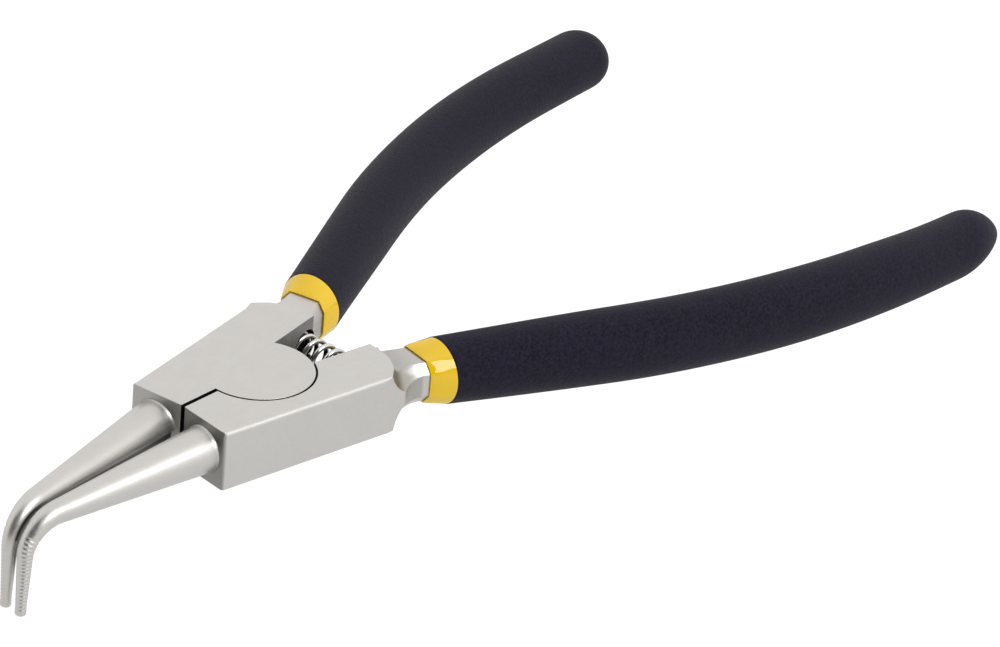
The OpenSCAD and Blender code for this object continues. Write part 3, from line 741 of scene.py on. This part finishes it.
def sideLeft(s):
    # place of the head's outer side, to the left of the handle's line
    first = np.radians(handle["angle"])
    along, left = np.array([np.cos(first), np.sin(first)]), np.array([-np.sin(first), np.cos(first)])
    frontOuter, rearOuter = outerCorners() - np.array([0.0, handle["foot"]])
    run = rearOuter - frontOuter
    return rearOuter @ left + (run @ left) / (run @ along) * (s - rearOuter @ along)


def neckRings():
    # eight-sided bar whose ground flats run out into the head on arcs, then the flat tang
    w, h = neckHalf
    shoulder, flareStart = head["shoulder"], head["shoulder"] - neck["flareBack"]
    flareEnd = flareStart + neck["flare"]
    flareS = np.linspace(flareStart, flareEnd, neck["flareSteps"])
    # the four sides, each kept a hair inside the head where the two meet
    out = np.minimum(w + runOut(flareS, flareEnd, neck["sideRunOut"]), sideLeft(flareS) - 0.002)
    top = h + np.minimum(runOut(flareS, shoulder + neck["topStart"], neck["topRunOut"]),
                         head["thick"] - handle["level"] - h - 0.08)
    low = h + np.minimum(runOut(flareS, flareEnd - 0.4, neck["lowRunOut"] - 0.2), handle["level"] - h - 0.03)
    sunk = 1 - smoothStep((flareS - shoulder + neck["sinkBack"]) / neck["sinkLength"])
    inner = neckInner - neck["innerSink"] * sunk
    # the corners, where the flats meet the sides
    topReach = flatReach + runOut(flareS, shoulder + neck["flatStart"], neck["flatRunOut"])
    lowReach = flatReach + runOut(flareS, flareEnd - 0.2, neck["lowRunOut"])
    topSide = np.minimum((topReach - flatFacing[0] * out) / flatFacing[1], top - neck["topBand"])
    topOut = np.minimum((topReach - flatFacing[1] * top) / flatFacing[0], out - neck["topBand"])
    lowSide = np.minimum((lowReach - flatFacing[0] * out) / flatFacing[1], low - neck["lowBand"])
    lowOut = np.minimum((lowReach - flatFacing[1] * low) / flatFacing[0], out - neck["lowBand"])
    edge, innerUp = np.full_like(flareS, cornerOut * w), np.full_like(flareS, cornerUp * h)
    corner = np.stack([np.stack(pair, -1) for pair in (
        (out, topSide), (topOut, top), (-edge, top), (-inner, innerUp),
        (-inner, -innerUp), (-edge, -low), (lowOut, -low), (out, -lowSide))], 1)
    k = neck["tangCorner"]
    tang = 0.5 * np.array([neck["tangWidth"], neck["tangHeight"]]) * [
        [1, k], [k, 1], [-k, 1], [-1, k], [-1, -k], [-k, -1], [k, -1], [1, -k]]
    tangS = np.linspace(tangStart, handleEnd - neck["tangShort"], neck["tangSteps"])
    s = np.concatenate([[flareStart - neck["rootBack"]], flareS, [tangStart - 0.1], tangS])
    corner = np.concatenate([[neck["rootShare"] * neckBar], corner, [neckBar],
                             np.repeat(tang[None], len(tangS), axis=0)])
    section = roundedRings(corner, neck["edgeCut"], neck["edgeSteps"])
    return place(s[:, None], section[..., 0], section[..., 1])


def joinSolids(base, added, cut):
    # exact booleans, then the result is kept as plain mesh and the helpers are removed
    for operation, tools in (("UNION", added), ("DIFFERENCE", cut)):
        for tool in tools:
            step = base.modifiers.new(operation.lower(), "BOOLEAN")
            step.operation, step.solver, step.object = operation, "EXACT", tool
    bpy.context.view_layer.update()
    solid = bpy.data.meshes.new_from_object(base.evaluated_get(bpy.context.evaluated_depsgraph_get()))
    base.modifiers.clear()
    base.data = solid
    for tool in added + cut:
        bpy.data.objects.remove(tool)
    return base


def pocketRings(sign):
    # round bore along Y from the middle plane to a floor at pocketDepth behind the rear face
    c = circle(head["pocketSteps"])
    floorY = shoulderInner[1] - head["faceSlope"] * (shoulderInner[0] - spring["reach"]) + head["pocketDepth"]
    ring = np.stack([spring["reach"] + head["pocketRadius"] * np.cos(c), 0 * c,
                     middle + head["pocketRadius"] * np.sin(c)], -1)
    return np.stack([ring, ring + np.array([0.0, sign * floorY, 0.0])])


# painted shade in the gaps and pockets, on faces that catch less light and between the jaws: how far each is darkened
paintedShade = {"gaps": 0.82, "front": 0.56, "leftFront": 0.55, "rear": 0.62, "scoop": 0.62, "between": 0.85,
         "neck": 0.28, "neckBack": 0.3}


def leverShadeMasks(tree, where):
    # masks of painted shade from 0 to 1 by place on the part in mm, most with a narrow soft edge; the largest one
    # counts
    toMm = tree.nodes.new("ShaderNodeVectorMath")
    toMm.operation = "SCALE"
    toMm.inputs["Scale"].default_value = 1000.0
    tree.links.new(where, toMm.inputs[0])
    split = tree.nodes.new("ShaderNodeSeparateXYZ")
    tree.links.new(toMm.outputs[0], split.inputs[0])
    x, y, z = split.outputs
    add, times = (lambda *v: addMath(tree, "ADD", *v)), (lambda *v: addMath(tree, "MULTIPLY", *v))
    larger = lambda *v: addMath(tree, "MAXIMUM", *v)
    length = lambda a, b: addMath(tree, "SQRT", add(times(a, a), times(b, b)))
    ramp, near = (lambda *v: addRange(tree, *v)), (lambda *v: nearTo(tree, *v))
    side = addMath(tree, "ABSOLUTE", y)
    inside = near(z, middle, middle - 0.13, middle - 0.03)      # between the head's top and underside
    # painted shade in the lap gap, slot and the spring's pockets
    halfSlot, bore = 0.5 * head["slot"], head["pocketRadius"]
    lap = near(length(x, y), head["lapRadius"] + 0.5 * head["lapGap"], 0.18, 0.26)
    slot = times(near(side, 0.0, halfSlot + 0.02, halfSlot + 0.12),
                 ramp(x, 0.2 - head["lapRadius"], 0.6 - head["lapRadius"], 1.0, 0.0))
    pocket = times(near(length(add(x, -spring["reach"]), add(z, -middle)), 0.0, bore + 0.03, bore + 0.1),
                   near(side, 0.0, 7.3, 7.6))
    gaps = larger(times(larger(lap, slot), inside), pocket)
    # painted shade on the front faces, less of it on the left one, and on the rear faces
    toe, dip = np.tan(np.radians(jaw["toe"])), np.radians(jaw["dip"])
    behind = add(add(x, times(side, toe)), head["frontReach"] - jaw["offset"] * toe)
    front = times(times(ramp(behind, -0.12, -0.05, 0.0, 1.0), ramp(behind, 0.04, 0.4, 1.0, 0.0)), inside)
    front = times(front, ramp(y, -0.1, 0.1, 1.0, paintedShade["leftFront"]))
    rear = times(near(add(side, times(x, -head["faceSlope"])), faceRise, 0.06, 0.1), inside)
    # painted shade on the run-outs behind the head: above the neck's corner flats, short of the head's top and outer
    # side
    first, shoulder = np.radians(handle["angle"]), head["shoulder"]
    outward = add(side, -handle["foot"])
    along = add(times(x, np.cos(first)), times(outward, np.sin(first)))
    left = add(times(outward, np.cos(first)), times(x, -np.sin(first)))
    proud = add(add(times(left, flatFacing[0]), times(add(z, -handle["level"]), flatFacing[1])), -flatReach)
    outer = add(left, times(along, sideLeft(0.0) - sideLeft(1.0)))
    short = times(ramp(outer, sideLeft(0.0) - 0.155, sideLeft(0.0) - 0.075, 1.0, 0.0), inside)
    scoop = times(times(ramp(proud, 0.1, 1.5, 0.0, 1.0), short), near(along, shoulder + 0.2, 1.8, 2.4))
    # painted shade on the inner sides of the jaws: how far a point lies from the jaw's own middle towards the other
    # jaw, in radii
    reach = jaw["cone"] + jaw["bendRadius"]
    ahead = ramp(times(add(x, head["frontReach"]), -1.0), 0.0, reach, 0.0, reach)
    radius = add(ramp(ahead, 0.0, jaw["cone"], 0.5 * jaw["baseD"], 0.5 * jaw["bendStartD"]),
                 ramp(ahead, jaw["cone"], reach, 0.0, -0.6))
    towards = addMath(tree, "DIVIDE", add(add(times(ahead, -toe), jaw["offset"]), times(side, -1.0)), radius)
    bendX = jaw["cone"] * np.cos(dip) - jaw["bendRadius"] * np.sin(dip)
    bendX = head["frontReach"] + bendX * np.cos(np.radians(jaw["toe"]))
    above = larger(add(add(z, jaw["bendRadius"] - middle), times(ahead, np.tan(dip))), 0.0)
    beyond = larger(add(times(x, -1.0), -bendX), 0.0)
    within = ramp(length(above, beyond), jaw["bendRadius"] - 0.05, jaw["bendRadius"] + 0.3, 1.0, 0.0)
    within = times(within, ramp(x, -head["frontReach"] - 0.45, -head["frontReach"] - 0.15, 1.0, 0.0))
    between = times(ramp(towards, 0.8, 0.95, 0.0, 1.0), within)
    # painted shade on the sides of the necks, and on the right neck's top, which is darker than the left one's, most
    # near the head
    neckSide = times(ramp(left, neckInner, neckHalf[0], 0.0, 1.0), near(along, shoulder + 2.7, 1.4, 1.9))
    neckInside = times(ramp(left, -neckInner - 0.1, 0.9 - neckInner, 1.0, 0.0),
                       near(along, shoulder + 2.1, 2.3, 2.7))
    neckTop = near(z, head["thick"] - 0.6, 0.5, 0.56)
    for factor in (ramp(left, neckInner - 0.1, neckHalf[0], 1.0, 0.0),
                   ramp(along, shoulder - 1.0, shoulder - 0.9, 0.0, 1.0),
                   ramp(along, shoulder + 1.1, shoulder + 4.3, 1.0, paintedShade["neckBack"]), ramp(y, -0.1, 0.1, 1.0, 0.0)):
        neckTop = times(neckTop, factor)
    necks = larger(add(neckSide, neckTop), neckInside)
    paintedDark = times(gaps, paintedShade["gaps"])
    for mask, key in ((front, "front"), (rear, "rear"), (scoop, "scoop"), (between, "between"), (necks, "neck")):
        paintedDark = larger(paintedDark, times(mask, paintedShade[key]))
    return paintedDark


# painted shade from the lever masks, multiplied in with the shade tint
leverSteel = makeSteel("satinSteel", {
    "dark": (0.64, 0.62, 0.59), "light": (0.725, 0.71, 0.685), "cloudScale": 220.0, "cloudContrast": 0.9,
    "markScale": 5200.0, "markStretch": 0.06, "smooth": 0.33, "rough": 0.47, "bump": 0.12, "bumpDepth": 0.00006,
    "shadeTint": (0.02, 0.019, 0.018)}, leverShadeMasks)
print("steel mixed")

jawPoints, neckPoints = jawRings(), neckRings()
for side, sign in (("left", 1.0), ("right", -1.0)):
    if sign > 0:
        turned, headFaces = headMesh(head["topEdge"], head["bottomEdge"])
    else:       # turned over, disc down
        turned, headFaces = headMesh(head["bottomEdge"], head["topEdge"])
        turned = turned * np.array([1.0, -1.0, -1.0]) + np.array([0.0, 0.0, head["thick"]])
    flip = np.array([1.0, sign, 1.0])
    lever = newObject(side + "LeverForging", turned, headFaces)
    bent = tube(side + "JawTool", jawPoints * flip)
    bar = tube(side + "NeckTool", neckPoints * flip)
    lever = joinSolids(lever, [bent, bar], [tube(side + "PocketTool", pocketRings(sign))])
    softenEdges(lever, head["sharpAngle"])
    keepFlat(lever.data)
    lever.modifiers.new("weighted", "WEIGHTED_NORMAL").keep_sharp = True
    dress(lever, side + "_half", leverSteel, side + "_lever")
    print(side, "lever made,", len(lever.data.polygons), "faces")

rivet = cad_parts["pivot_rivet"]
rivet.data.materials.clear()
rivet.data.materials.append(leverSteel)


# floor and light
studio = {"floorLevel": -10.35, "floorSize": 3000.0, "floorTone": 0.22, "floorMottle": 0.03,
          "floorScale": 40.0, "floorContrast": 0.5, "floorRough": 0.9,
          "floorGlow": 0.9, "floorBounce": 0.58, "roomColour": (1.0, 0.995, 0.985), "roomGlow": 0.925,
          "shadeFrom": (-0.76, -0.42, 0.44), "shadeEdge": (0.64, 0.84), "shadeLeft": 0.0}
half = 0.5 * studio["floorSize"]
grid = np.stack(np.meshgrid(np.linspace(-half, half, 3), np.linspace(-half, half, 3)), -1).reshape(-1, 2)
cell = np.array([[0, 1, 4, 3], [1, 2, 5, 4], [3, 4, 7, 6], [4, 5, 8, 7]]).tolist()
floor = newObject("floor", np.column_stack([grid, np.full(9, studio["floorLevel"])]), cell)
floorPaint, tree, shader, where = newMaterial("paleFloor")
tint = placeGroup(tree, mottle, where, Scale=studio["floorScale"], Contrast=studio["floorContrast"])
tones = [(studio["floorTone"] * (1.0 + sign * studio["floorMottle"]),) * 3 for sign in (-1.0, 1.0)]
feed(tree, shader["Base Color"], colourBetween(tree, tint, *tones))
feed(tree, shader["Roughness"], studio["floorRough"])
feed(tree, shader["Specular IOR Level"], 0.0)
seen = tree.nodes.new("ShaderNodeLightPath").outputs["Is Camera Ray"]
glow = colourBetween(tree, seen, (studio["floorBounce"],) * 3, (studio["floorGlow"],) * 3)
feed(tree, shader["Emission Color"], glow)
feed(tree, shader["Emission Strength"], 1.0)
floor.data.materials.append(floorPaint)

# white room, dark about the camera, which the bends of the jaws pick up
world = bpy.data.worlds.new("studio")
scene.world = world
world.use_nodes = True
tree = world.node_tree
look = tree.nodes.new("ShaderNodeTexCoord")
toShade = tree.nodes.new("ShaderNodeVectorMath")
toShade.operation = "DOT_PRODUCT"
tree.links.new(look.outputs["Generated"], toShade.inputs[0])
toShade.inputs[1].default_value = Vector(studio["shadeFrom"]).normalized()
level = addRange(tree, toShade.outputs["Value"], *studio["shadeEdge"], studio["roomGlow"], studio["shadeLeft"])
tree.links.new(level, tree.nodes["Background"].inputs["Strength"])
tree.nodes["Background"].inputs["Color"].default_value = (*studio["roomColour"], 1.0)

# one soft panel, in metres and watts, for the streaks on collars and cones
keyPanel = {"direction": (-0.10, -0.75, 0.65), "distance": 0.9, "width": 0.5, "height": 0.40, "power": 3.2,
            "aim": (0.03, 0.0, 0.0)}
lamp = bpy.data.lights.new("keyPanel", "AREA")
lamp.shape, lamp.energy = "RECTANGLE", keyPanel["power"]
lamp.size, lamp.size_y = keyPanel["width"], keyPanel["height"]
panel = bpy.data.objects.new("keyPanel", lamp)
scene.collection.objects.link(panel)
panel.location = Vector(keyPanel["aim"]) + Vector(keyPanel["direction"]).normalized() * keyPanel["distance"]
panel.rotation_euler = (Vector(keyPanel["aim"]) - panel.location).to_track_quat("-Z", "Y").to_euler()
panel.visible_camera = False
print("floor and light set")
